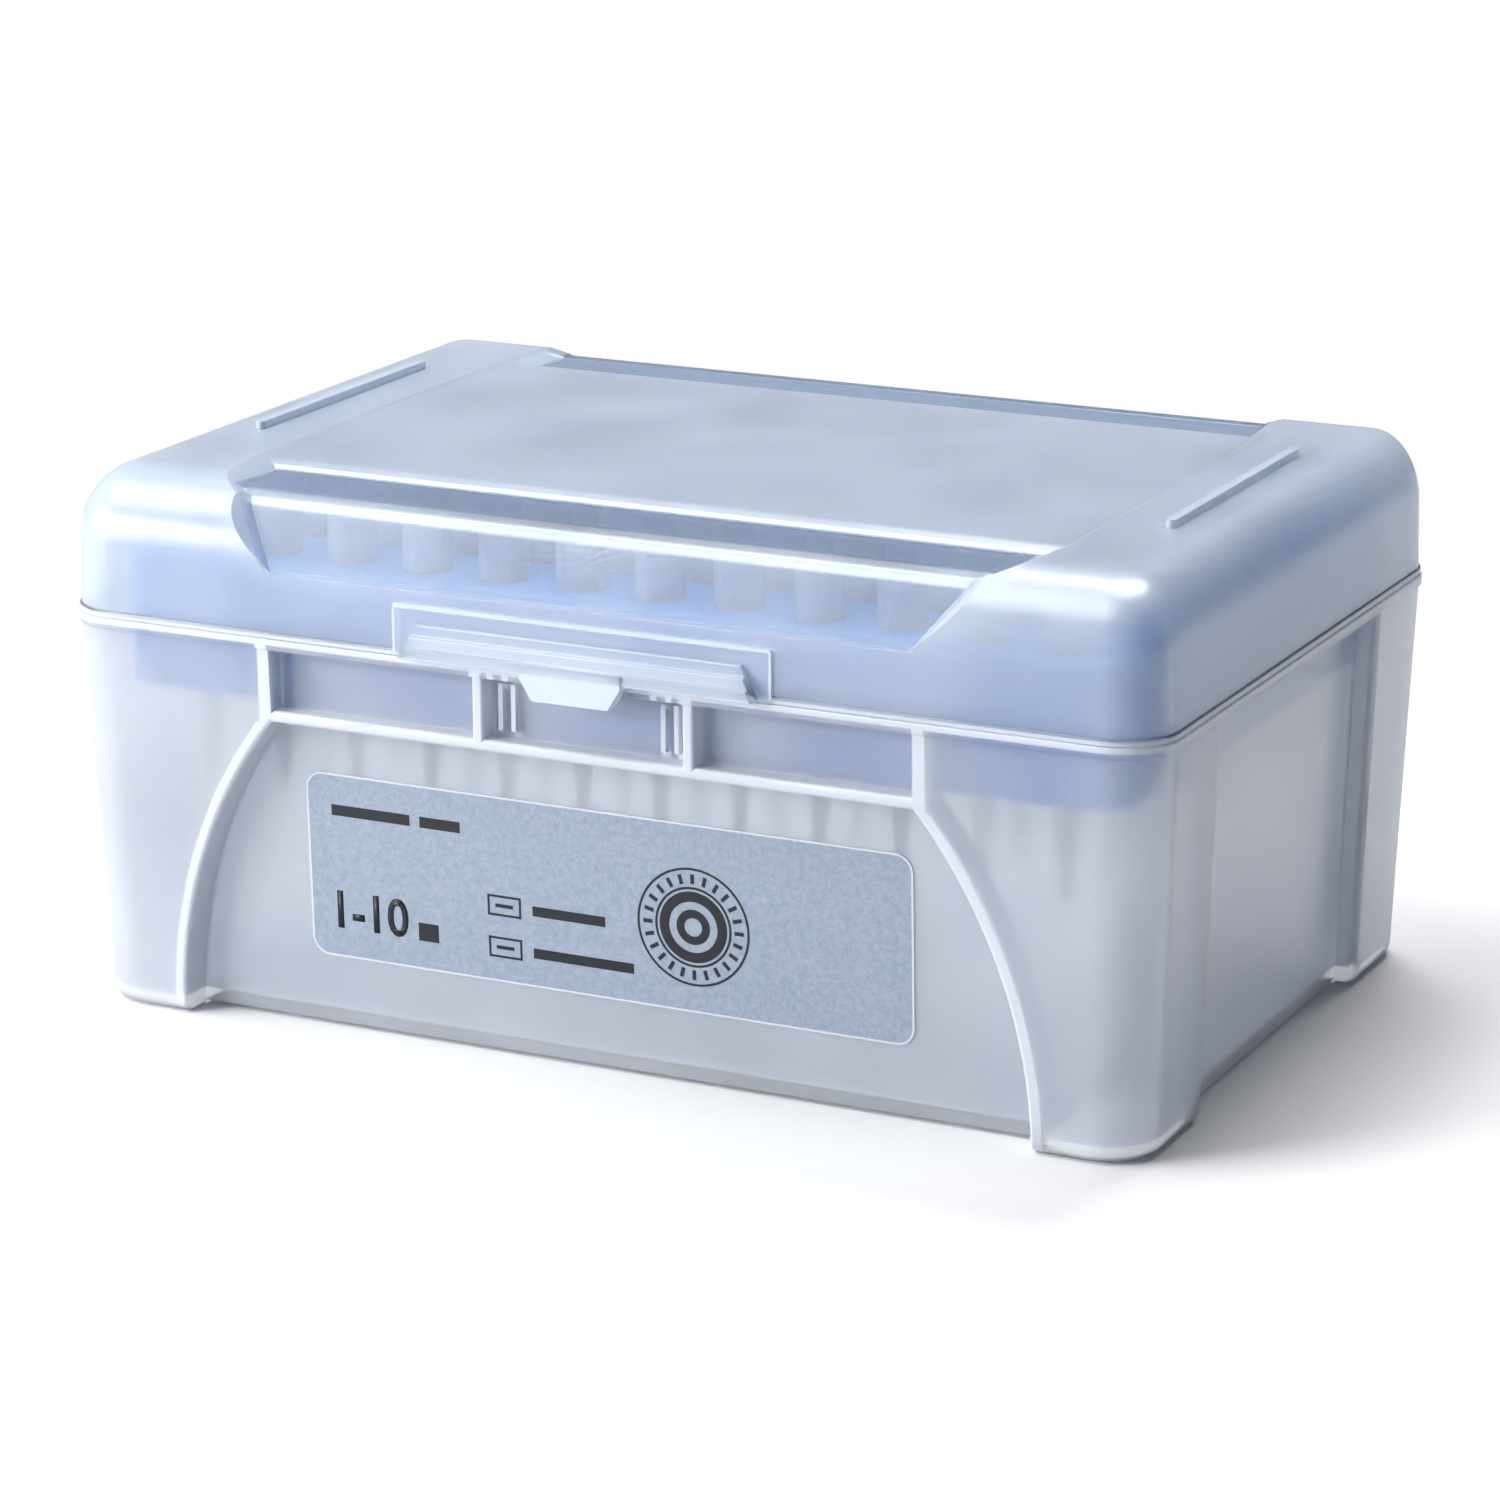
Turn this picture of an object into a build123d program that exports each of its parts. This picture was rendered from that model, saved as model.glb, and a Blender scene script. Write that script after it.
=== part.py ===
from build123d import *
import math
import os

os.makedirs("parts", exist_ok=True)

# A hinged box of 96 pipette tips: a thin-walled base and lid in natural polypropylene, a
# coloured tray that carries the tips, and a film label on the front.
# Sizes are in mm. The base stands on z = 0, the front faces -Y, and X runs along the front.

# ---- the grid of tips, which the rest is built round ----
tip_pitch = 9.0  # the standard spacing of multichannel pipettes
tip_columns = 12
tip_rows = 8

# ---- the box as a whole ----
end_margin = 12.8  # from the outermost tips to the box's ends, at the seam
front_margin = 9.5  # the same to its front and back
base_height = 43.4  # feet to seam
wall = 1.2  # moulded wall of base and lid
corner_radius = 6.0  # upright corners, seen from above
base_draft = 1.5  # how far each base wall leans in, from the seam down to the feet
lid_draft = 0.3  # the same for the lid, from the seam up
lid_step = 0.1  # the lid's edge stands this far inside the base's rim

# ---- base ----
rim_height = 1.2  # flat rim that the lid closes on
bead = 0.25  # how far the rim's bead stands out
bead_round = 0.2
foot_round = 1.5  # rounding round the underside
foot_height = 0.5  # the corner posts reach this far below the panels
panel_setback = 3.8  # recessed front and back panels, behind the corner posts
pocket_setback = 2.2  # wall of the pockets under the rim, behind the corner posts
pocket_height = 6.6  # from the ledge to the rim
ledge_thickness = 1.3  # ledge across the top of the arch, which carries the tray inside
post_foot = 13.3  # width of the corner posts at their feet, seen from the front
post_top = 25.7  # and at the ledge
rib_spacing = 24.0  # the two ribs that split the space under the rim into three pockets
rib_thickness = 1.2
rib_round = 0.3
side_post = 17.7  # width of the corner posts, seen from the side
side_setback = 2.4  # recessed panels in the sides, behind the corner posts
edge_round = 0.5  # rounding along the arch, the ledge and the posts beside the side panels
guide_spacing = 18.6  # the two small guides for the latch
guide_width = 2.0
guide_end_gap = 0.8  # above and below them, in the middle pocket
guide_depth = 0.8
guide_groove = 0.9

# ---- lid ----
front_round = 8.0  # rounding along the top of the shoulders: how far it runs in from the front
side_round = 5.5  # from the ends
back_round = 3.5  # and from the back
round_height = 7.0  # and how far down it starts
round_sections = 7
top_corner = 0.6  # what the rounding leaves of the upright corners' radius
lid_bead = 0.2  # bead along the lid's edge
lid_bead_height = 0.8
window_rise = 7.0  # the window's lower edge over the seam
window_inset = 25.7  # its lower corners, from the box's ends
window_lean = 33.0  # degrees that the window leans back
window_spread = 0.62  # growth of its half-width for each mm up its face
window_flare = 48.0  # degrees that the cheeks beside the window open out
window_round = 3.0  # curve from the window into the channel's floor
channel_drop = 1.1  # the clear strips before and behind the raised panel, under the shoulders
channel_inset = 18.1  # the channel's floor, from the box's ends, beside the panel
channel_slope = 2.25  # run of the channel's sides for each mm of rise
channel_taper = 0.15  # narrowing of the strips for each mm away from the panel
front_strip = 15.1  # foot of the raised panel's front edge, from the front of the box
back_strip = 10.2  # and of its back edge, from the back
panel_edge = 0.7  # its height over the strips at those edges
panel_run = 1.8  # the edges rise over this run
panel_crown = 1.0  # its height in the middle
rail_inset = 9.3  # stacking rails on the shoulders, from the box's ends
rail_length = 36.0
rail_centre = 3.0
rail_width = 1.1
rail_height = 0.9

# ---- latch, on the lid's front ----
latch_width = 43.0  # shallow raised field round the grip
latch_height = 5.2
latch_proud = 0.3
grip_width = 40.0
grip_steps = 3
grip_step_depth = 0.6
grip_step_height = 1.15
grip_slant = 1.6  # each end slopes in by this much over the grip's height
grip_round = 0.2
grip_gap = 0.3  # height of the grip over the seam
tongue_width = 11.4
tongue_tip_width = 8.6
tongue_drop = 2.2  # below the seam
tongue_gap = 0.25  # in front of the rim's bead

# ---- snap hinge, at the back ----
hinge_spacing = 60.0
hinge_bar_radius = 1.3
hinge_clearance = 0.07  # radial, between bar and clip
clip_wall = 1.1
clip_width = 9.0
clip_side_gap = 0.3
clip_rim_gap = 0.68  # between the clip and the rim's bead
clip_opening = 100.0  # degrees of the clip left open, where the bar snaps in
clip_turn = -110.0  # the way its opening faces: down and a little inwards
lug_thickness = 1.6
lug_rim = 0.7  # of a lug, round the end of the bar

# ---- tray and tips ----
tray_gap = 0.5  # between the tray's skirt and the pocket walls
tray_side_gap = 5.1  # between the skirt and the base's side walls at the seam
tray_wall = 1.2
tray_height = 14.6  # from the ledge that it stands on to the top of its deck
deck_thickness = 1.5
tray_corner = 4.0
tray_round = 0.8
hub_height = 5.0
hub_overlap = 0.25  # of a tip's hub on the deck round its hole, radial
hub_headroom = 1.3  # from the hubs to the lid's channel
tip_seat_clearance = 0.2  # radial, between a tip and its hole in the deck
tip_shoulder_radius = 2.15  # just under the hub
tip_neck_radius = 1.6  # where the body turns into the fine point
tip_neck_depth = 12.2
tip_depth = 26.0  # how far a tip hangs below the deck
tip_wall = 0.45  # of the hub
tip_end_bore = 0.2
tip_end_wall = 0.25

# ---- label ----
label_height = 20.4
label_side_gap = 1.6  # inside the upper ends of the arch
label_top_gap = 5.9  # under the ledge
label_thickness = 0.15
label_corner = 2.0

# ---- worked out from the above ----
box_width = tip_pitch * (tip_columns - 1) + 2 * end_margin
box_depth = tip_pitch * (tip_rows - 1) + 2 * front_margin
rim_bottom = base_height - rim_height
ledge_top = rim_bottom - pocket_height
ledge_bottom = ledge_top - ledge_thickness
arch_half = box_width / 2 - post_foot
ledge_half = box_width / 2 - post_top
arch_radius = ((arch_half - ledge_half) ** 2 + ledge_bottom**2) / (2 * (arch_half - ledge_half))
side_half = box_depth / 2 - side_post
tray_top = ledge_top + tray_height
channel_floor = tray_top + hub_height + hub_headroom + wall
lid_top = channel_floor + channel_drop  # the lid is as high as the tips' hubs need
lid_height = lid_top - base_height
window_height = base_height + window_rise
window_half = box_width / 2 - window_inset
channel_half = box_width / 2 - channel_inset
clip_inner = hinge_bar_radius + hinge_clearance
clip_outer = clip_inner + clip_wall
hinge_y = box_depth / 2 + bead + clip_rim_gap + clip_outer
tip_hole_radius = tip_shoulder_radius + tip_seat_clearance
hub_radius = tip_hole_radius + hub_overlap
label_width = 2 * (ledge_half - label_side_gap)
label_centre = ledge_bottom - label_top_gap - label_height / 2
grip_depth = grip_steps * grip_step_depth
latch_front = box_depth / 2 + bead + tongue_gap + grip_depth
back_reach = hinge_y + clip_outer
centre_shift = (latch_front - back_reach) / 2  # puts the origin under the middle of the whole
over = 1.0  # how far a cutting shape runs past what it cuts
base_lean_angle = math.degrees(math.atan(base_draft / base_height))


def base_lean(z):
    """How far the base's walls have moved in at this height."""
    return base_draft * (1 - z / base_height)


def lid_lean(z):
    return lid_step + lid_draft * (z - base_height) / lid_height


# ---------------------------------------------------------------- base
def base_block(inset, low, high):
    """The drafted box that the base is cut from, with its walls moved in by inset."""
    with BuildPart() as block:
        for z in (low, high):
            shrink = 2 * (base_lean(z) + inset)
            with BuildSketch(Plane.XY.offset(z)):
                RectangleRounded(box_width - shrink, box_depth - shrink, corner_radius - inset)
        loft()
    return block.part


def outside_of(setback, grow, low, high):
    """All that lies in front of a panel with this setback, between two heights."""
    with BuildPart() as space:
        with BuildSketch(Plane.YZ):
            face = [
                (base_lean(z) + setback + grow - box_depth / 2, z)
                for z in (low, high)
            ]
            Polygon((-box_depth, low), *face, (-box_depth, high), align=None)
        extrude(amount=box_width, both=True)
    return space.part


def arch_recess(grow, top):
    """The recess in the front: straight at the feet, with sides that curve in to the ledge."""
    radius = arch_radius + grow
    foot = arch_half + grow

    def half_width(z):
        return foot - radius + math.sqrt(radius**2 - z**2)

    with BuildPart() as recess:
        with BuildSketch(Plane.XZ):
            with BuildLine():
                Polyline((foot, 0), (foot, -over), (-foot, -over), (-foot, 0))
                ThreePointArc((foot, 0), (half_width(top / 2), top / 2), (half_width(top), top))
                Line((half_width(top), top), (-half_width(top), top))
                ThreePointArc((-half_width(top), top), (-half_width(top / 2), top / 2), (-foot, 0))
            make_face()
        extrude(amount=box_depth)
        add(outside_of(panel_setback, grow, -over, top), mode=Mode.INTERSECT)
    return recess.part


def pocket_recess(grow, low, high):
    """The space between the ledge and the rim."""
    with BuildPart() as recess:
        with BuildSketch(Plane.XZ):
            with Locations((0, (low + high) / 2)):
                Rectangle(2 * (ledge_half + grow), high - low)
        extrude(amount=box_depth)
        add(outside_of(pocket_setback, grow, low, high), mode=Mode.INTERSECT)
    return recess.part


def side_recess(grow, high):
    """The recessed panel in the right side."""
    with BuildPart() as recess:
        with BuildSketch(Plane.XZ):
            face = [
                (box_width / 2 - base_lean(z) - side_setback - grow, z)
                for z in (-over, high)
            ]
            Polygon((box_width, -over), *face, (box_width, high), align=None)
        extrude(amount=side_half + grow, both=True)
    return recess.part


def recess_edge(edge):
    """True for a long edge where a recess cuts the face of a corner post or of the rim."""
    middle = edge.center()
    lean = base_lean(middle.Z)
    on_front = abs(abs(middle.Y) - box_depth / 2 + lean) < edge_round and abs(middle.X) < arch_half
    on_side = (
        abs(abs(middle.X) - box_width / 2 + lean) < edge_round
        and abs(abs(middle.Y) - side_half) < edge_round
    )
    return edge.length > ledge_bottom and (on_front or on_side)


with BuildPart() as base_outside:
    add(base_block(0, 0, base_height))
    fillet(base_outside.faces().sort_by(Axis.Z)[0].edges(), foot_round)
    for cut in (arch_recess(0, ledge_bottom), pocket_recess(0, ledge_top, rim_bottom)):
        add(cut, mode=Mode.SUBTRACT)
        add(cut.mirror(Plane.XZ), mode=Mode.SUBTRACT)
    cut = side_recess(0, rim_bottom)
    add(cut, mode=Mode.SUBTRACT)
    add(cut.mirror(Plane.YZ), mode=Mode.SUBTRACT)
    # the long edges of the arch, the ledge and the posts are rounded
    fillet(base_outside.edges().filter_by(recess_edge), edge_round)

floor_top = foot_height + wall
with BuildPart() as base_inside:
    add(base_block(wall, floor_top, base_height + over))
    for cut in (arch_recess(wall, ledge_top), pocket_recess(wall, ledge_top, base_height + over)):
        add(cut, mode=Mode.SUBTRACT)
        add(cut.mirror(Plane.XZ), mode=Mode.SUBTRACT)
    cut = side_recess(wall, base_height + over)
    add(cut, mode=Mode.SUBTRACT)
    add(cut.mirror(Plane.YZ), mode=Mode.SUBTRACT)

pocket_y = box_depth / 2 - pocket_setback - base_lean(ledge_top)
rib_front = box_depth / 2 - base_lean(ledge_top)


def band(proud, low, height):
    """A bead with rounded edges round the box, from the middle of the wall out."""
    with BuildPart() as ring:
        with BuildSketch(Plane.XY.offset(low)):
            RectangleRounded(box_width + 2 * proud, box_depth + 2 * proud, corner_radius + proud)
        extrude(amount=height)
        fillet(ring.faces().filter_by(Axis.Z).edges(), bead_round)
        with BuildSketch(Plane.XY.offset(low)):
            RectangleRounded(box_width - wall, box_depth - wall, corner_radius - wall / 2)
        extrude(amount=height, mode=Mode.SUBTRACT)
    return ring.part


def rib_edge(edge):
    """True for the upright outer edges of the ribs under the rim."""
    middle = edge.center()
    return (
        abs(abs(middle.X) - rib_spacing / 2) < rib_thickness
        and abs(abs(middle.Y) - rib_front) < rib_round
        and ledge_top < middle.Z < rim_bottom
        and edge.length > pocket_height / 2
    )


with BuildPart() as base:
    add(base_outside.part)
    add(base_inside.part, mode=Mode.SUBTRACT)
    # the underside between the four corner feet is lifted off the table
    with BuildSketch(Plane.XY):
        Rectangle(2 * arch_half, box_depth)
        Rectangle(box_width, 2 * side_half)
    extrude(amount=foot_height, mode=Mode.SUBTRACT)
    add(band(bead, rim_bottom, rim_height))
    # two ribs split the space under the rim into three pockets, front and back
    with BuildSketch(Plane.XY.offset(ledge_top - over / 2)):
        rib_back = pocket_y - wall / 2
        with GridLocations(rib_spacing, rib_front + rib_back, 2, 2):
            Rectangle(rib_thickness, rib_front - rib_back)
    extrude(amount=pocket_height + over)
    fillet(base.edges().filter_by(rib_edge), rib_round)
    # two small guides in the middle pocket keep the latch's tongue central
    with BuildSketch(Plane.XZ.offset(pocket_y - wall / 2)):
        guide_height = pocket_height - 2 * guide_end_gap
        with Locations((0, ledge_top + pocket_height / 2)):
            with GridLocations(guide_spacing, 0, 2, 1):
                Rectangle(guide_width, guide_height)
                with Locations((0, -(guide_width - guide_groove) / 2)):
                    Rectangle(guide_groove, guide_height, mode=Mode.SUBTRACT)
    extrude(amount=wall / 2 + guide_depth)
    # hinge brackets: two lugs and the bar between them, twice
    lug_radius = hinge_bar_radius + lug_rim
    lug_offset = (clip_width + lug_thickness) / 2 + clip_side_gap
    for bracket in (-hinge_spacing / 2, hinge_spacing / 2):
        for side in (-lug_offset, lug_offset):
            with BuildSketch(Plane.YZ.offset(bracket + side - lug_thickness / 2)):
                with Locations((hinge_y, base_height)):
                    Circle(lug_radius)
                Polygon(
                    (pocket_y - wall / 2, ledge_top),
                    (pocket_y - wall / 2, rim_bottom + rim_height / 2),
                    (box_depth / 2 + bead, base_height),
                    (hinge_y, base_height),
                    (hinge_y, base_height - lug_radius),
                    align=None,
                )
            extrude(amount=lug_thickness)
        with BuildSketch(Plane.YZ.offset(bracket - lug_offset)):
            with Locations((hinge_y, base_height)):
                Circle(hinge_bar_radius)
        extrude(amount=2 * lug_offset)


# ---------------------------------------------------------------- lid
def lid_block(inset, low):
    """The lid without its channel: a shallow box whose upper edges are rounded.

    The rounding runs in furthest from the front and least from the back, so it is a loft through
    level sections that follow a quarter ellipse on each side.
    """
    spring = lid_top - round_height
    with BuildPart() as block:
        for z in (low, spring):
            shrink = 2 * (lid_lean(z) + inset)
            with BuildSketch(Plane.XY.offset(z)):
                RectangleRounded(box_width - shrink, box_depth - shrink, corner_radius - inset)
        loft()
        for section in range(round_sections):
            turn = math.pi / 2 * section / (round_sections - 1)
            z = spring + (round_height - inset) * math.sin(turn)
            inwards = 1 - math.cos(turn)
            edge = lid_lean(z) + inset
            front = edge + (front_round - inset) * inwards
            side = edge + (side_round - inset) * inwards
            back = edge + (back_round - inset) * inwards
            corner = corner_radius - inset - (corner_radius - inset - top_corner) * inwards
            with BuildSketch(Plane.XY.offset(z)):
                with Locations((0, (front - back) / 2)):
                    RectangleRounded(box_width - 2 * side, box_depth - front - back, corner)
        loft()
    return block.part


def channel(grow):
    """What is cut from the lid between its shoulders, with every face moved in by grow.

    The window leans back from the front wall, curves into the channel's floor, and the floor
    carries a crowned panel between two clear strips. Cheeks beside the window and slopes beside
    the floor open outwards, and the strips narrow away from the panel.
    """
    lean = math.radians(window_lean)
    flare = math.tan(math.radians(window_flare))
    reach = lid_top + 2 * over
    front = box_depth / 2 - lid_lean(window_height)
    floor = channel_floor - grow

    # cheeks: a trapezium in the plane of the window, opening outwards
    spread = grow * (math.hypot(1, flare) - flare)
    low = flare * over - spread
    high = (reach - window_height) / math.cos(lean)
    half_low = window_half - low
    half_high = half_low + window_spread * (high - low)
    normal = Vector(0, -math.cos(lean), math.sin(lean))
    face = Plane(
        origin=Vector(0, -front, window_height) - normal * (grow + over),
        x_dir=(1, 0, 0),
        z_dir=normal,
    )
    with BuildPart() as space:
        with BuildSketch(face):
            Polygon((-half_low, low), (half_low, low), (half_high, high), (-half_high, high), align=None)
        extrude(amount=2 * front_round, taper=-window_flare)

        # slopes beside the floor
        panel_low = front_strip - box_depth / 2
        panel_high = box_depth / 2 - back_strip
        side = channel_half + grow * (math.hypot(1, channel_slope) - channel_slope)
        for z in (floor - over, reach):
            rise = channel_slope * (z - floor)
            start = window_round - front + panel_edge - rise
            end = box_depth / 2 + over
            outline = [
                (side + rise - channel_taper * (panel_low - start), start),
                (side + rise, panel_low),
                (side + rise, panel_high),
                (side + rise - channel_taper * (end - panel_high), end),
            ]
            with BuildSketch(Plane.XY.offset(z)):
                Polygon(*outline, *[(-x, y) for x, y in reversed(outline)], align=None)
        loft()

        # nothing below the window, the curve, the strips and the crowned panel
        round_radius = window_round - grow
        run = (floor - window_height + grow * math.sin(lean)) * math.tan(lean)
        knee = run + grow * math.cos(lean) - front
        bend = round_radius * math.tan((math.pi / 2 - lean) / 2)
        arc_start = (knee - bend * math.sin(lean), floor - bend * math.cos(lean))
        drop = arc_start[1] - base_height
        edge = floor + panel_edge
        crown = floor + panel_crown
        shift = grow * math.tan(math.atan2(panel_edge, panel_run) / 2)
        step_front = panel_low + shift
        step_back = panel_high - shift
        step_radius = (panel_run**2 + panel_edge**2) / (2 * panel_edge)
        with BuildSketch(Plane.YZ):
            with BuildLine():
                Line((arc_start[0] - drop * math.tan(lean), base_height), arc_start)
                centre = (knee + bend, floor - round_radius)
                CenterArc(centre, round_radius, 180 - window_lean, window_lean - 90)
                Line((knee + bend, floor), (step_front, floor))
                RadiusArc((step_front, floor), (step_front + panel_run, edge), step_radius)
                ThreePointArc(
                    (step_front + panel_run, edge),
                    ((step_front + step_back) / 2, crown),
                    (step_back - panel_run, edge),
                )
                RadiusArc((step_back - panel_run, edge), (step_back, floor), step_radius)
                Polyline(
                    (step_back, floor),
                    (box_depth, floor),
                    (box_depth, reach + over),
                    (-box_depth, reach + over),
                    (-box_depth, base_height),
                    (arc_start[0] - drop * math.tan(lean), base_height),
                )
            make_face()
        extrude(amount=box_width, both=True, mode=Mode.INTERSECT)
    return space.part


def grip_edge(edge):
    """True for the long edges of the grip's steps."""
    middle = edge.center()
    return (
        edge.length > grip_width - 2 * grip_slant - over
        and middle.Y < -(box_depth / 2 - lid_step + latch_proud + grip_step_depth / 2)
        and middle.Z > base_height
    )


with BuildPart() as lid_inside:
    add(lid_block(wall, base_height - over))
    add(channel(wall), mode=Mode.SUBTRACT)

with BuildPart() as lid:
    add(lid_block(0, base_height))
    add(channel(0), mode=Mode.SUBTRACT)
    add(lid_inside.part, mode=Mode.SUBTRACT)
    add(band(lid_bead - lid_step, base_height, lid_bead_height))

    # stacking rails
    with BuildSketch(Plane.XY.offset(lid_top - wall / 2)):
        with Locations((0, rail_centre)):
            with GridLocations(box_width - 2 * rail_inset, 0, 2, 1):
                SlotOverall(rail_length, rail_width, rotation=90)
    extrude(amount=wall / 2 + rail_height)

    # latch: a shallow raised field, a stepped grip and the tongue that hangs over the rim
    front = box_depth / 2 - lid_step
    grip_low = base_height + grip_gap
    with BuildSketch(Plane.XZ.offset(front - wall / 2)):
        with Locations((0, grip_low + latch_height / 2)):
            RectangleRounded(latch_width, latch_height, latch_proud)
    extrude(amount=wall / 2 + latch_proud)
    for step in range(grip_steps):
        height = grip_step_height * (grip_steps - step)
        slant = grip_slant * height / (grip_steps * grip_step_height)
        with BuildSketch(Plane.XZ.offset(front - wall / 2)):
            Polygon(
                (-grip_width / 2, grip_low),
                (grip_width / 2, grip_low),
                (grip_width / 2 - slant, grip_low + height),
                (slant - grip_width / 2, grip_low + height),
                align=None,
            )
        extrude(amount=wall / 2 + latch_proud + grip_step_depth * (step + 1))
    fillet(lid.edges().filter_by(grip_edge), grip_round)
    with BuildSketch(Plane.XZ.offset(box_depth / 2 + bead + tongue_gap)):
        Polygon(
            (-tongue_width / 2, grip_low + grip_step_height),
            (tongue_width / 2, grip_low + grip_step_height),
            (tongue_width / 2, base_height),
            (tongue_tip_width / 2, base_height - tongue_drop),
            (-tongue_tip_width / 2, base_height - tongue_drop),
            (-tongue_width / 2, base_height),
            align=None,
        )
    extrude(amount=grip_depth)

    # hinge clips: each grips the base's bar and hangs from a tab on the back wall
    tab_low = base_height + clip_inner / 2
    for clip in (-hinge_spacing / 2, hinge_spacing / 2):
        with BuildSketch(Plane.YZ.offset(clip - clip_width / 2)):
            with Locations((hinge_y, base_height)):
                Circle(clip_outer)
            Polygon(
                (front - wall / 2, tab_low),
                (hinge_y, tab_low),
                (hinge_y, base_height + clip_outer),
                (front - wall / 2, base_height + clip_outer + wall),
                align=None,
            )
            with Locations((hinge_y, base_height)):
                Circle(clip_inner, mode=Mode.SUBTRACT)
            with BuildLine(mode=Mode.PRIVATE) as mouth:
                half_open = clip_opening / 2
                tips = [
                    (
                        hinge_y + 2 * clip_outer * math.cos(math.radians(turn)),
                        base_height + 2 * clip_outer * math.sin(math.radians(turn)),
                    )
                    for turn in (clip_turn - half_open, clip_turn + half_open)
                ]
                Polyline((hinge_y, base_height), *tips, close=True)
            make_face(mouth.edges(), mode=Mode.SUBTRACT)
        extrude(amount=clip_width)

# ---------------------------------------------------------------- tray
skirt_y = pocket_y - wall - tray_gap
skirt_x = box_width / 2 - tray_side_gap
deck_bottom = tray_top - deck_thickness
with BuildPart() as tip_tray:
    with BuildSketch(Plane.XY.offset(ledge_top)):
        RectangleRounded(2 * skirt_x, 2 * skirt_y, tray_corner)
    extrude(amount=tray_top - ledge_top)
    fillet(tip_tray.faces().sort_by(Axis.Z)[-1].edges(), tray_round)
    with BuildSketch(Plane.XY.offset(ledge_top)):
        RectangleRounded(2 * (skirt_x - tray_wall), 2 * (skirt_y - tray_wall), tray_corner - tray_wall)
    extrude(amount=deck_bottom - ledge_top, mode=Mode.SUBTRACT)
    with BuildSketch(Plane.XY.offset(deck_bottom)):
        with GridLocations(tip_pitch, tip_pitch, tip_columns, tip_rows):
            Circle(tip_hole_radius)
    extrude(amount=deck_thickness, mode=Mode.SUBTRACT)


# ---------------------------------------------------------------- tips
def tip_column(x):
    """One column of eight tips, as an eight-channel pipette picks them up."""
    hub_top = tray_top + hub_height
    neck = tray_top - tip_neck_depth
    end = tray_top - tip_depth
    with BuildPart() as tips:
        for row in range(tip_rows):
            y = (row - (tip_rows - 1) / 2) * tip_pitch
            with BuildSketch(Plane.XZ.offset(-y)):
                with Locations((x, 0)):
                    Polygon(
                        (hub_radius - tip_wall, hub_top),
                        (hub_radius, hub_top),
                        (hub_radius, tray_top),
                        (tip_shoulder_radius, tray_top),
                        (tip_neck_radius, neck),
                        (tip_end_bore + tip_end_wall, end),
                        (tip_end_bore, end),
                        align=None,
                    )
            revolve(axis=Axis((x, y, 0), (0, 0, 1)))
    return tips


# ---------------------------------------------------------------- label
panel_y = box_depth / 2 - panel_setback - base_lean(label_centre)
lean = math.radians(base_lean_angle)
label_plane = Plane(
    origin=(0, -panel_y, label_centre),
    x_dir=(1, 0, 0),
    z_dir=(0, -math.cos(lean), -math.sin(lean)),
)
with BuildPart() as label:
    with BuildSketch(label_plane):
        RectangleRounded(label_width, label_height, label_corner)
    extrude(amount=label_thickness)

# ---------------------------------------------------------------- write the pieces
pieces = {"base": base, "lid": lid, "tip_tray": tip_tray, "label": label}
for number in range(tip_columns):
    x = (number - (tip_columns - 1) / 2) * tip_pitch
    pieces[f"tips_column_{number + 1:02d}"] = tip_column(x)

for name, piece in pieces.items():
    placed = Pos(0, centre_shift, 0) * piece.part
    placed.label = name
    export_step(placed, f"parts/{name}.step")
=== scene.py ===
import math

import bmesh
import bpy
from mathutils import Matrix, Vector


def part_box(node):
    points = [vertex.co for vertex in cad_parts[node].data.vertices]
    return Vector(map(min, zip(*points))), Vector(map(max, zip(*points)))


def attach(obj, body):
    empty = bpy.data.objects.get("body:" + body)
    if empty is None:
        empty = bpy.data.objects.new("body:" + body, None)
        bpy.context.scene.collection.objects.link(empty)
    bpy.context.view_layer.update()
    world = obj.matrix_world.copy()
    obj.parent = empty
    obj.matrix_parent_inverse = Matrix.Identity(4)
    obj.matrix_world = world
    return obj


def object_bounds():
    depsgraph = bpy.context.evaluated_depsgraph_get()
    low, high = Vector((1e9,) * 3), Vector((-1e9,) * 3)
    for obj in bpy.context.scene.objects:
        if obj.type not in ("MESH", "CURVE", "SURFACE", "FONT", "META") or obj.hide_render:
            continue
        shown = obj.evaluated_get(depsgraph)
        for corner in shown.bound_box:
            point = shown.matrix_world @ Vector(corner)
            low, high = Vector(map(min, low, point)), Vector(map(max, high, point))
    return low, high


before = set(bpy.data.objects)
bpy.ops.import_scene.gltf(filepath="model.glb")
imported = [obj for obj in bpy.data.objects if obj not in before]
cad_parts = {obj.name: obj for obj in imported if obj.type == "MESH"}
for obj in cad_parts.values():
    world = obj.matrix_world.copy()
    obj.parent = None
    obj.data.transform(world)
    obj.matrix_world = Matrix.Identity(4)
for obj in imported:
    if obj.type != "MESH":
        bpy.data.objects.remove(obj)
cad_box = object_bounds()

# ---------------------------------------------------------------- studio and camera
# The box stands on a pale table in a white studio. One softbox shines from high on the left, one
# from low at the front left and one from above the back, so the box's right side is in soft shade.
mm = 0.001
camera_azimuth = 26.15  # degrees round from the front, to the right
camera_elevation = 16.25
camera_roll = -0.19
camera_distance = 543 * mm
camera_lens = 119.9
aim_height = 25.1 * mm
aim_left = 1.04 * mm  # of the middle
aim_forward = 1.79 * mm


def linear(hexcode):
    """The linear colour of an sRGB hex code."""
    channels = [int(hexcode[i:i + 2], 16) / 255 for i in (0, 2, 4)]
    return tuple(c / 12.92 if c <= 0.04045 else ((c + 0.055) / 1.055) ** 2.4 for c in channels) + (1.0,)


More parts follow.
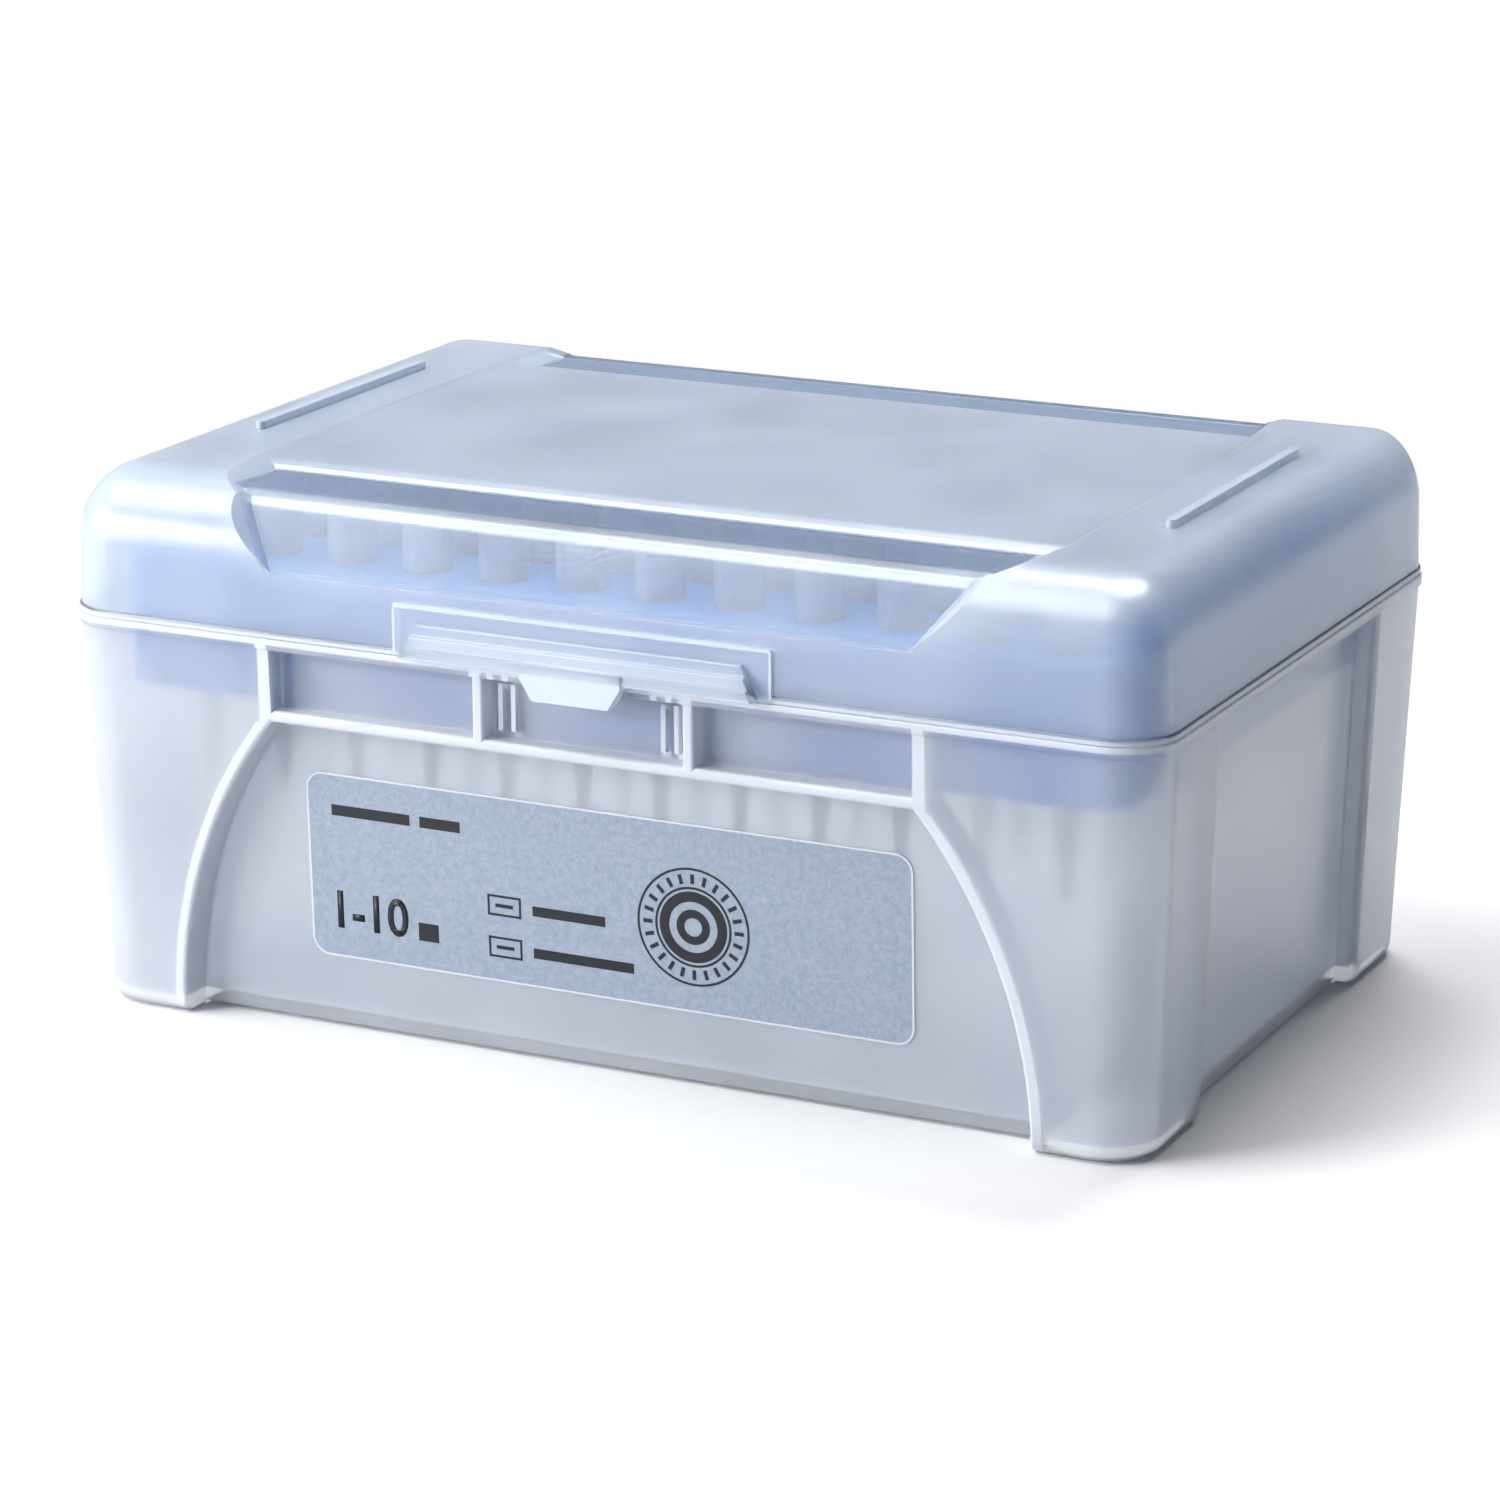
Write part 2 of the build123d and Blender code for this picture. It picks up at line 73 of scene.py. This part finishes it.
def node(tree, kind, inputs=None, **settings):
    """Adds a node with its settings. Each input is a value, a socket or a node's first output."""
    made = tree.nodes.new(kind)
    for name, value in settings.items():
        setattr(made, name, value)
    for name, value in (inputs or {}).items():
        if isinstance(value, bpy.types.Node):
            value = value.outputs[0]
        if isinstance(value, bpy.types.NodeSocket):
            tree.links.new(value, made.inputs[name])
        else:
            made.inputs[name].default_value = value
    return made


def new_material(name):
    """An empty node material and its output node."""
    material = bpy.data.materials.new(name)
    material.use_nodes = True
    material.node_tree.nodes.clear()
    return material, node(material.node_tree, "ShaderNodeOutputMaterial")


middle = (cad_box[0] + cad_box[1]) / 2
aim = Vector((middle.x - aim_left, middle.y - aim_forward, aim_height))
turn = math.radians(camera_azimuth)
rise = math.radians(camera_elevation)
away = Vector((math.sin(turn) * math.cos(rise), -math.cos(turn) * math.cos(rise), math.sin(rise)))
camera = bpy.data.objects.new("camera", bpy.data.cameras.new("camera"))
camera.data.sensor_width = 36
camera.data.lens = camera_lens
camera.matrix_world = (
    Matrix.Translation(aim + away * camera_distance)
    @ away.to_track_quat("Z", "Y").to_matrix().to_4x4()
    @ Matrix.Rotation(math.radians(camera_roll), 4, "Z")
)
bpy.context.scene.collection.objects.link(camera)
bpy.context.scene.camera = camera


def softbox(name, place, width, depth, power):
    """A rectangular light that faces the box."""
    light = bpy.data.objects.new(name, bpy.data.lights.new(name, "AREA"))
    light.data.shape = "RECTANGLE"
    light.data.size = width
    light.data.size_y = depth
    light.data.energy = power
    light.location = place
    light.rotation_euler = (Vector(place) - aim).to_track_quat("Z", "Y").to_euler()
    bpy.context.scene.collection.objects.link(light)


softbox("key_softbox", (-0.4, -0.22, 0.84), width=0.6, depth=0.5, power=5.9)
softbox("front_softbox", (-0.41, -0.353, 0.165), width=0.34, depth=0.26, power=3.3)
softbox("overhead_softbox", (-0.06, 0.4, 0.9), width=0.5, depth=0.4, power=7.5)

# the world: white to the camera, pale blue through the plastic, and dimmer on the right as a light
left_strength = 0.5
right_strength = 0.04
behind_strength = 0.75
world = bpy.data.worlds.new("studio")
bpy.context.scene.world = world
world.use_nodes = True
tree = world.node_tree
tree.nodes.clear()
path = node(tree, "ShaderNodeLightPath")
direction = node(tree, "ShaderNodeTexCoord")
to_right = node(tree, "ShaderNodeSeparateXYZ", {0: direction.outputs["Generated"]}).outputs["X"]
level = node(
    tree, "ShaderNodeMapRange",
    {
        "Value": to_right, "From Min": -0.8, "From Max": 0.8,
        "To Min": left_strength, "To Max": right_strength,
    },
)
surround = node(tree, "ShaderNodeBackground", {"Color": linear("DDE2EC"), "Strength": level})
behind = node(tree, "ShaderNodeBackground", {"Color": linear("CFDCF0"), "Strength": behind_strength})
white = node(tree, "ShaderNodeBackground", {"Color": linear("FFFFFF"), "Strength": 1.0})
unseen = node(tree, "ShaderNodeMixShader", {0: path.outputs["Is Transmission Ray"], 1: surround, 2: behind})
shown = node(tree, "ShaderNodeMixShader", {0: path.outputs["Is Camera Ray"], 1: unseen, 2: white})
node(tree, "ShaderNodeOutputWorld", {"Surface": shown})

# a matt pale table top, which fades to the white background away from the box
table_size = 4.0
fade_start = 0.07  # from the middle of the box
fade_end = 0.2
bpy.ops.mesh.primitive_plane_add(size=table_size, location=(0, 0, cad_box[0].z))
floor = bpy.context.object
floor.name = "floor"
material, output = new_material("pale_table")
tree = material.node_tree
place = node(tree, "ShaderNodeTexCoord")
distance = node(tree, "ShaderNodeVectorMath", {0: place.outputs["Object"]}, operation="LENGTH")
fade = node(
    tree, "ShaderNodeMapRange",
    {"Value": distance.outputs["Value"], "From Min": fade_start, "From Max": fade_end},
    interpolation_type="SMOOTHSTEP",
)
path = node(tree, "ShaderNodeLightPath")
far = node(tree, "ShaderNodeMath", {0: fade, 1: path.outputs["Is Camera Ray"]}, operation="MULTIPLY")
through = node(
    tree, "ShaderNodeMath", {0: far, 1: path.outputs["Is Transmission Ray"]}, operation="MAXIMUM"
)
# the camera sees it paler than it shines on the box
shade = node(
    tree, "ShaderNodeMix",
    {"Factor": path.outputs["Is Camera Ray"], "A": linear("C8C8C8"), "B": linear("F4F4F4")},
    data_type="RGBA",
)
table = node(tree, "ShaderNodeBsdfDiffuse", {"Color": shade.outputs["Result"]})
glow = node(tree, "ShaderNodeEmission", {"Color": linear("FFFFFF"), "Strength": 1.0})
surface = node(tree, "ShaderNodeMixShader", {0: through, 1: table, 2: glow})
tree.links.new(surface.outputs[0], output.inputs["Surface"])
floor.data.materials.append(material)

# ---------------------------------------------------------------- base
# The base is a thin-wall injection moulding in natural polypropylene, all in one piece. Its mould is
# spark-eroded, which leaves a fine frost on every face, so the wall blurs what stands behind it. Its
# ribs, rim and arch look white, partly as plastic seen edge on and partly from a painted highlight.
base_low, base_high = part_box("base")
tray_low, tray_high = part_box("tip_tray")
box_half = (base_high.x - base_low.x) / 2
box_middle = (tray_low.y + tray_high.y) / 2  # of its depth
lip = 2.0 * mm  # of the base, inside the lid
seam = base_high.z - lip
section = 1.3 * mm  # a wall seen edge on, and the width of the painted highlight along it
rim_low = seam - 0.6 * mm
ledge_low = seam - 9.15 * mm
ledge_high = seam - 7.75 * mm
arch_foot = box_half - 13.5 * mm
arch_top = box_half - 25.9 * mm
arch_rise = ledge_low - base_low.z
arch_radius = ((arch_foot - arch_top) ** 2 + arch_rise ** 2) / (2 * (arch_foot - arch_top))
rib_middle = 12.0 * mm
guide_middle = 9.3 * mm
guide_inner = 0.5 * mm  # from a guide's middle to its bright edges
guide_outer = 1.2 * mm
side_edge = 23.3 * mm  # from the box's middle to the side panels' ends
post_depth = 5.0 * mm
thick_section = 2.6 * mm  # plastic thicker than this looks white
cloud_size = 14 * mm
cloud_depth = 0.16  # how much clearer and milkier the wall gets from place to place
grain_size = 0.6 * mm
grain_height = 0.1 * mm
edge_clearness = 0.3  # of plastic seen edge on, and of the edges with a painted highlight
crisp = 0.1 * mm  # softness of a mask's end


def dress(name, material):
    """Gives a CAD node its material."""
    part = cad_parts[name]
    part.data.materials.clear()
    part.data.materials.append(material)


def where(tree):
    """How far a point of the box lies across from its middle, and its depth and height."""
    place = node(tree, "ShaderNodeTexCoord")
    split = node(tree, "ShaderNodeSeparateXYZ", {0: place.outputs["Object"]})
    across = node(tree, "ShaderNodeMath", {0: split.outputs["X"]}, operation="ABSOLUTE")
    return across, split.outputs["Y"], split.outputs["Z"]


def above(tree, value, limit, soft=crisp):
    """A mask of where a value is more than a limit."""
    return node(
        tree, "ShaderNodeMapRange",
        {"Value": value, "From Min": limit - soft / 2, "From Max": limit + soft / 2},
    )


def below(tree, value, limit, soft=crisp):
    """A mask of where a value is less than a limit."""
    return above(tree, value, limit, -soft)


def both(tree, *masks):
    """A mask of where all of some masks are."""
    joined = masks[0]
    for mask in masks[1:]:
        joined = node(tree, "ShaderNodeMath", {0: joined, 1: mask}, operation="MULTIPLY")
    return joined


def either(tree, *masks):
    """A mask of where any of some masks is."""
    joined = masks[0]
    for mask in masks[1:]:
        joined = node(tree, "ShaderNodeMath", {0: joined, 1: mask}, operation="MAXIMUM")
    return joined


def band(tree, value, low, high, soft=0.15 * mm):
    """A mask of where a value is between two limits."""
    return both(tree, above(tree, value, low, soft), below(tree, value, high, soft))


def apart(tree, value, point):
    """How far a value is from a point, either way."""
    offset = node(tree, "ShaderNodeMath", {0: value, 1: point}, operation="SUBTRACT")
    return node(tree, "ShaderNodeMath", {0: offset}, operation="ABSOLUTE")


def polypropylene(name, colour, haze, clearness, gloss, ribs=None, polish=None):
    """Natural polypropylene: a milky, see-through plastic with a waxy skin, whiter where it is thick.

    ribs makes the mask of the places where the plastic is seen edge on, which also get a painted
    highlight. polish makes two masks, each 0 on what is polished and 1 elsewhere: the first for a light
    polish, the second for a full one, which is also painted a deeper blue as painted shade.
    """
    material, output = new_material(name)
    tree = material.node_tree
    place = node(tree, "ShaderNodeTexCoord")

    # thick plastic: from an outer face, short rays into it stay inside
    side = node(tree, "ShaderNodeNewGeometry")
    outer = node(tree, "ShaderNodeMath", {0: 1.0, 1: side.outputs["Backfacing"]}, operation="SUBTRACT")
    reach = node(tree, "ShaderNodeMath", {0: outer, 1: thick_section}, operation="MULTIPLY")
    inside = node(
        tree, "ShaderNodeAmbientOcclusion", {"Distance": reach}, samples=1, inside=True, only_local=True
    )
    thick = node(
        tree, "ShaderNodeMapRange",
        {"Value": inside.outputs["AO"], "From Min": 0.3, "From Max": 0.75, "To Max": outer},
    )
    # the ribs mask adds a painted highlight: those edges pass less light and look whiter under any lamp
    if ribs:
        thick = either(tree, thick, ribs(tree))

    # a polished face is clear and lets the inside show; a fully polished one is also painted a deeper blue,
    # as painted shade of the dim inside
    tint = linear(colour)
    if polish:
        lightly, fully = polish(tree)
        light_haze = node(tree, "ShaderNodeMapRange", {"Value": lightly, "To Min": 0.06, "To Max": haze})
        haze = node(tree, "ShaderNodeMapRange", {"Value": fully, "To Min": 0.04, "To Max": light_haze})
        light_clearness = node(
            tree, "ShaderNodeMapRange", {"Value": lightly, "To Min": 0.9, "To Max": clearness}
        )
        clearness = node(
            tree, "ShaderNodeMapRange", {"Value": fully, "To Min": 1.0, "To Max": light_clearness}
        )
        tint = node(
            tree, "ShaderNodeMix", {"Factor": fully, "A": linear("B8CDE9"), "B": tint}, data_type="RGBA"
        ).outputs["Result"]

    # soft clouds, from the melt's flow, and a fine grain, drawn coarser than the real one to show
    cloud = node(
        tree, "ShaderNodeTexNoise",
        {"Vector": place.outputs["Object"], "Scale": 1 / cloud_size, "Detail": 2.0},
    )
    drift = node(tree, "ShaderNodeMapRange", {"Value": cloud, "To Min": -cloud_depth, "To Max": cloud_depth})
    clearness = node(tree, "ShaderNodeMath", {0: drift, 1: clearness}, operation="ADD")
    grain = node(
        tree, "ShaderNodeTexNoise",
        {"Vector": place.outputs["Object"], "Scale": 1 / grain_size, "Detail": 1.0},
    )
    bump = node(tree, "ShaderNodeBump", {"Height": grain, "Strength": 0.05, "Distance": grain_height})
    passing = node(
        tree, "ShaderNodeMapRange", {"Value": thick, "To Min": clearness, "To Max": edge_clearness}
    )
    plastic = node(
        tree, "ShaderNodeBsdfPrincipled",
        {
            "Base Color": tint, "Roughness": haze, "IOR": 1.49, "Transmission Weight": passing,
            "Coat Weight": gloss, "Coat Roughness": 0.32, "Normal": bump,
        },
    )
    tree.links.new(plastic.outputs[0], output.inputs["Surface"])
    return material


def base_milky_and_lit_edges(tree):
    """A mask of the base's rim, ledge, ribs, guides, arch and post edges: seen edge on, with a painted
    highlight.
    """
    across, depth, height = where(tree)
    rim = band(tree, height, rim_low, seam)
    ledge = both(tree, band(tree, height, ledge_low, ledge_high), below(tree, across, arch_top + section))
    uprights = either(
        tree,
        band(tree, across, rib_middle - section / 2, rib_middle + section / 2),
        band(tree, across, arch_top, arch_top + section),
        band(tree, apart(tree, across, guide_middle), guide_inner, guide_outer),
    )
    ribs = both(tree, uprights, above(tree, height, ledge_high))
    arm = node(
        tree, "ShaderNodeCombineXYZ",
        {
            0: node(tree, "ShaderNodeMath", {0: across, 1: arch_foot - arch_radius}, operation="SUBTRACT"),
            2: node(tree, "ShaderNodeMath", {0: height, 1: base_low.z}, operation="SUBTRACT"),
        },
    )
    radius = node(tree, "ShaderNodeVectorMath", {0: arm}, operation="LENGTH").outputs["Value"]
    arch = both(tree, band(tree, radius, arch_radius, arch_radius + section), below(tree, height, ledge_low))
    posts = both(
        tree,
        band(tree, apart(tree, depth, box_middle), side_edge, side_edge + section),
        above(tree, across, box_half - post_depth),
    )
    return either(tree, rim, ledge, ribs, arch, posts)


# its frost spreads each light into a broad, soft shine, and shows the inside as pale shadows
frosted = polypropylene(
    "frosted_polypropylene", "EDF2FB", haze=0.28, clearness=0.87, gloss=0.5, ribs=base_milky_and_lit_edges
)
dress("base", frosted)

# ---------------------------------------------------------------- lid
# The lid is a thin-wall moulding of the same polypropylene, snapped to the base at two hinges. Its
# mould is polished at the window and at the strips before and behind the raised panel, and
# spark-eroded elsewhere.
lid_low, lid_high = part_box("lid")
window_low = seam + 7.0 * mm
window_half = 36.6 * mm  # at its lower edge
window_spread = 0.74  # growth of that for each mm up
channel_floor = seam + 14.3 * mm
channel_half = 43.6 * mm
strip_start = box_middle - 35.0 * mm
panel_front = box_middle - 26.0 * mm
panel_back = box_middle + 30.9 * mm
bead_high = seam + 0.5 * mm
rail_low = lid_high.z - 0.8 * mm
latch_half = 21.5 * mm
latch_high = seam + 5.5 * mm
latch_step = 0.3 * mm  # the field's raised edge
latch_depth = 4.0 * mm
polish_end = 0.3 * mm  # softness of the line between polish and frost


def lid_polish(tree):
    """Two masks, each 1 on the frosted rest of the lid: 0 on its window, and 0 on its clear strips."""
    across, depth, height = where(tree)
    opening = node(tree, "ShaderNodeMath", {0: height, 1: window_low}, operation="SUBTRACT")
    spread = node(tree, "ShaderNodeMath", {0: opening, 1: window_spread}, operation="MULTIPLY")
    from_edge = node(tree, "ShaderNodeMath", {0: across, 1: spread}, operation="SUBTRACT")
    behind_front = above(tree, depth, panel_front, polish_end)
    window = either(
        tree, above(tree, from_edge, window_half, polish_end), below(tree, height, window_low, polish_end),
        behind_front,
    )
    off_floor = either(
        tree, above(tree, across, channel_half, polish_end),
        below(tree, height, channel_floor - 0.4 * mm, polish_end),
    )
    front_strip = either(tree, off_floor, behind_front, below(tree, depth, strip_start, polish_end))
    back_strip = either(tree, off_floor, below(tree, depth, panel_back, polish_end))
    return window, both(tree, front_strip, back_strip)


def lid_milky_and_lit_edges(tree):
    """A mask of the lid's bead, its rails, the panel's front edge and the outline of the latch field, which
    get a painted highlight.
    """
    across, depth, height = where(tree)
    bead = below(tree, height, bead_high)
    rails = node(
        tree, "ShaderNodeMath", {0: above(tree, height, rail_low), 1: 0.5}, operation="MULTIPLY"
    )
    panel_edge = both(
        tree,
        band(tree, depth, panel_front - 0.2 * mm, panel_front + 0.5 * mm),
        above(tree, height, channel_floor - 1.0 * mm, 0.2 * mm),
        below(tree, across, channel_half + 0.9 * mm, 0.2 * mm),
    )
    latch_sides = both(
        tree, band(tree, across, latch_half - latch_step, latch_half + crisp), below(tree, height, latch_high)
    )
    latch_top = both(
        tree, band(tree, height, latch_high - latch_step, latch_high + crisp), below(tree, across, latch_half)
    )
    field = both(tree, either(tree, latch_sides, latch_top), below(tree, depth, lid_low.y + latch_depth))
    return either(tree, bead, rails, panel_edge, field)


# the frosted shoulders and panel look misty and blue from the tray below, and the window is glassy
# its bead, rails, panel edge and latch outline are made whiter as a painted highlight
lid_plastic = polypropylene(
    "lid_polypropylene", "E6F0FC", haze=0.28, clearness=0.83, gloss=0.4, ribs=lid_milky_and_lit_edges, polish=lid_polish
)
dress("lid", lid_plastic)

# ---------------------------------------------------------------- tray
# The tray is a moulding in blue polypropylene that stands on the base's ledges. It is solid in
# colour, and its satin face gives one soft shine along each edge.
material, output = new_material("blue_polypropylene")
tree = material.node_tree
plastic = node(
    tree, "ShaderNodeBsdfPrincipled", {"Base Color": linear("5A9ADB"), "Roughness": 0.35, "IOR": 1.49}
)
tree.links.new(plastic.outputs[0], output.inputs["Surface"])
dress("tip_tray", material)

# ---------------------------------------------------------------- tips
# The tips are moulded in natural polypropylene in polished moulds, and hang in the tray by their
# hubs. Their thin walls are clear and a little milky, and turn white at the thick rims.
tip_plastic = polypropylene("clear_polypropylene", "FAFCFF", haze=0.1, clearness=0.72, gloss=0.0)
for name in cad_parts:
    if name.startswith("tips_column"):
        dress(name, tip_plastic)

# ---------------------------------------------------------------- label
# The label is a silvery translucent film, die cut with round corners and pressed on the panel. It
# is printed in one black ink. Its glue wets the frosted panel unevenly, which gives a fine mottle.
label_low, label_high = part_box("label")
label_size = label_high - label_low
film_thickness = 0.15 * mm
film_corner = 2.0 * mm
film_edge_highlight = 0.22 * mm  # a painted highlight: the pale line round the film
mottle_size = 0.7 * mm
ink_depth = 0.02 * mm
label_lean = math.atan2(label_size.y - film_thickness, label_size.z)
face_up = Vector((0, -math.sin(label_lean), math.cos(label_lean)))
face_out = Vector((0, -math.cos(label_lean), -math.sin(label_lean)))
face_middle = (label_low + label_high) / 2 + face_out * film_thickness / 2
half_width = label_size.x / 2
half_height = label_size.z / math.cos(label_lean) / 2

# the film: grey with pale mottle, and a painted highlight along its edge
material, output = new_material("label_film")
tree = material.node_tree
place = node(tree, "ShaderNodeTexCoord")
mottle = node(
    tree, "ShaderNodeTexNoise",
    {"Vector": place.outputs["Object"], "Scale": 1 / mottle_size, "Detail": 4.0, "Roughness": 0.75},
)
wetting = node(tree, "ShaderNodeMapRange", {"Value": mottle, "From Min": 0.32, "From Max": 0.68})
colour = node(
    tree, "ShaderNodeMix", {"Factor": wetting, "A": linear("8C9AAF"), "B": linear("A6B1C0")}, data_type="RGBA"
)
across, depth, height = where(tree)
past_side = node(tree, "ShaderNodeMath", {0: across, 1: half_width - film_corner}, operation="SUBTRACT")
past_end = node(
    tree, "ShaderNodeMath", {0: apart(tree, height, face_middle.z), 1: half_height - film_corner},
    operation="SUBTRACT",
)
corner = node(
    tree, "ShaderNodeCombineXYZ",
    {
        0: node(tree, "ShaderNodeMath", {0: past_side, 1: 0.0}, operation="MAXIMUM"),
        1: node(tree, "ShaderNodeMath", {0: past_end, 1: 0.0}, operation="MAXIMUM"),
    },
)
from_corner = node(tree, "ShaderNodeVectorMath", {0: corner}, operation="LENGTH").outputs["Value"]
# painted highlight: the film turns paler along its edge
colour = node(
    tree, "ShaderNodeMix",
    {
        "Factor": above(tree, from_corner, film_corner - film_edge_highlight, 0.06 * mm),
        "A": colour.outputs["Result"], "B": linear("D3D9E2"),
    },
    data_type="RGBA",
)
film = node(
    tree, "ShaderNodeBsdfPrincipled", {"Base Color": colour.outputs["Result"], "Roughness": 0.3, "IOR": 1.5}
)
tree.links.new(film.outputs[0], output.inputs["Surface"])
dress("label", material)

# the ink: a dull black, flatter to the eye than the film
ink, output = new_material("black_ink")
tree = ink.node_tree
pigment = node(
    tree, "ShaderNodeBsdfPrincipled", {"Base Color": linear("161A22"), "Roughness": 0.45, "IOR": 1.5}
)
tree.links.new(pigment.outputs[0], output.inputs["Surface"])
on_label = Matrix.Translation(face_middle) @ Matrix(
    ((1, 0, 0, 0), (0, face_up.y, face_out.y, 0), (0, face_up.z, face_out.z, 0), (0, 0, 0, 1))
)


def printed(name, shape):
    """Makes a piece of ink on the label. The shape's own X and Y run along and up the label."""
    bmesh.ops.recalc_face_normals(shape, faces=shape.faces)
    ink_mesh = bpy.data.meshes.new(name)
    shape.to_mesh(ink_mesh)
    shape.free()
    ink_mesh.transform(on_label)
    ink_mesh.materials.append(ink)
    part = bpy.data.objects.new(name, ink_mesh)
    bpy.context.scene.collection.objects.link(part)
    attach(part, "base_body")


def ink_bar(shape, left, right, bottom, top):
    """Adds a bar of ink to a shape, in mm from the label's middle."""
    made = bmesh.ops.create_cube(shape, size=1.0)["verts"]
    bmesh.ops.scale(shape, verts=made, vec=((right - left) * mm, (top - bottom) * mm, ink_depth))
    centre = ((left + right) / 2 * mm, (bottom + top) / 2 * mm, ink_depth / 2)
    bmesh.ops.translate(shape, verts=made, vec=centre)
    return made


def ink_line(shape, outer, inner):
    """Adds a closed line of ink to a shape, between two outlines in mm with as many points each."""
    loops = [
        [shape.verts.new((x * mm, y * mm, z)) for x, y in outline]
        for outline, z in ((inner, 0), (outer, 0), (outer, ink_depth), (inner, ink_depth))
    ]
    for near, far in zip(loops, loops[1:] + loops[:1]):
        for n in range(len(near)):
            after = (n + 1) % len(near)
            shape.faces.new((near[n], near[after], far[after], far[n]))


# two bars stand for a printed name, and one for the unit after the numbers
shape = bmesh.new()
ink_bar(shape, -32.0, -22.6, 5.6, 6.8)
ink_bar(shape, -21.4, -16.6, 5.6, 6.8)
ink_bar(shape, -22.0, -19.6, -7.0, -5.0)
printed("print_name", shape)

# plain numbers for the volume range
number_left, number_width = -31.8, 8.6
number_bottom, number_height = -7.0, 4.3
letters = bpy.data.curves.new("print_range", "FONT")
letters.body = "1-10"
letters.size = 6.0 * mm
letters.offset = 0.12 * mm  # a bold cut
letters.resolution_u = 4
written = bpy.data.objects.new("print_range", letters)
bpy.context.scene.collection.objects.link(written)
bpy.context.view_layer.update()
flat = bpy.data.meshes.new_from_object(written.evaluated_get(bpy.context.evaluated_depsgraph_get()))
bpy.data.objects.remove(written)
shape = bmesh.new()
shape.from_mesh(flat)
bpy.data.meshes.remove(flat)
bmesh.ops.remove_doubles(shape, verts=shape.verts, dist=0.001 * mm)
for face in shape.faces:
    face.material_index = 0
grown = bmesh.ops.extrude_face_region(shape, geom=shape.faces[:])
bmesh.ops.translate(
    shape, verts=[v for v in grown["geom"] if isinstance(v, bmesh.types.BMVert)], vec=(0, 0, ink_depth)
)
left = min(v.co.x for v in shape.verts)
right = max(v.co.x for v in shape.verts)
bottom = min(v.co.y for v in shape.verts)
top = max(v.co.y for v in shape.verts)
for vert in shape.verts:
    vert.co.x = (number_left + (vert.co.x - left) / (right - left) * number_width) * mm
    vert.co.y = (number_bottom + (vert.co.y - bottom) / (top - bottom) * number_height) * mm
printed("print_range", shape)

# two small frames, each with a bar in it and a longer bar beside it
for name, low in (("print_frame_upper", -2.9), ("print_frame_lower", -7.5)):
    left, right, high, line = -13.6, -9.65, low + 2.3, 0.25
    shape = bmesh.new()
    ink_line(
        shape, ((left, low), (right, low), (right, high), (left, high)),
        (
            (left + line, low + line), (right - line, low + line),
            (right - line, high - line), (left + line, high - line),
        ),
    )
    ink_bar(shape, -12.7, -10.6, low + 0.95, low + 1.35)
    printed(name, shape)
shape = bmesh.new()
ink_bar(shape, -8.3, 0.2, -2.35, -1.25)
ink_bar(shape, -8.3, 3.4, -7.0, -5.9)
printed("print_words", shape)

# a plain round mark: a thin rim, a thin line, a bold ring and a small one, and ticks in between
mark_x, mark_y = 10.35, -0.9
ring_sides = 64
tick_count = 24
tick_radius, tick_length, tick_width = 5.2, 1.05, 0.42
for name, inner, outer in (
    ("print_mark_rim", 6.15, 6.4), ("print_mark_line", 4.1, 4.35), ("print_mark_ring", 2.75, 3.85),
    ("print_mark_middle", 1.0, 1.9),
):
    shape = bmesh.new()
    angles = [math.tau * n / ring_sides for n in range(ring_sides)]
    ink_line(
        shape, [(mark_x + outer * math.cos(a), mark_y + outer * math.sin(a)) for a in angles],
        [(mark_x + inner * math.cos(a), mark_y + inner * math.sin(a)) for a in angles],
    )
    printed(name, shape)
shape = bmesh.new()
for tick in range(tick_count):
    made = ink_bar(
        shape, tick_radius - tick_length / 2, tick_radius + tick_length / 2, -tick_width / 2, tick_width / 2
    )
    bmesh.ops.rotate(shape, verts=made, matrix=Matrix.Rotation(math.tau * tick / tick_count, 3, "Z"))
    bmesh.ops.translate(shape, verts=made, vec=(mark_x * mm, mark_y * mm, 0))
printed("print_mark_ticks", shape)

# ---------------------------------------------------------------- view
bpy.context.scene.view_settings.view_transform = "Standard"
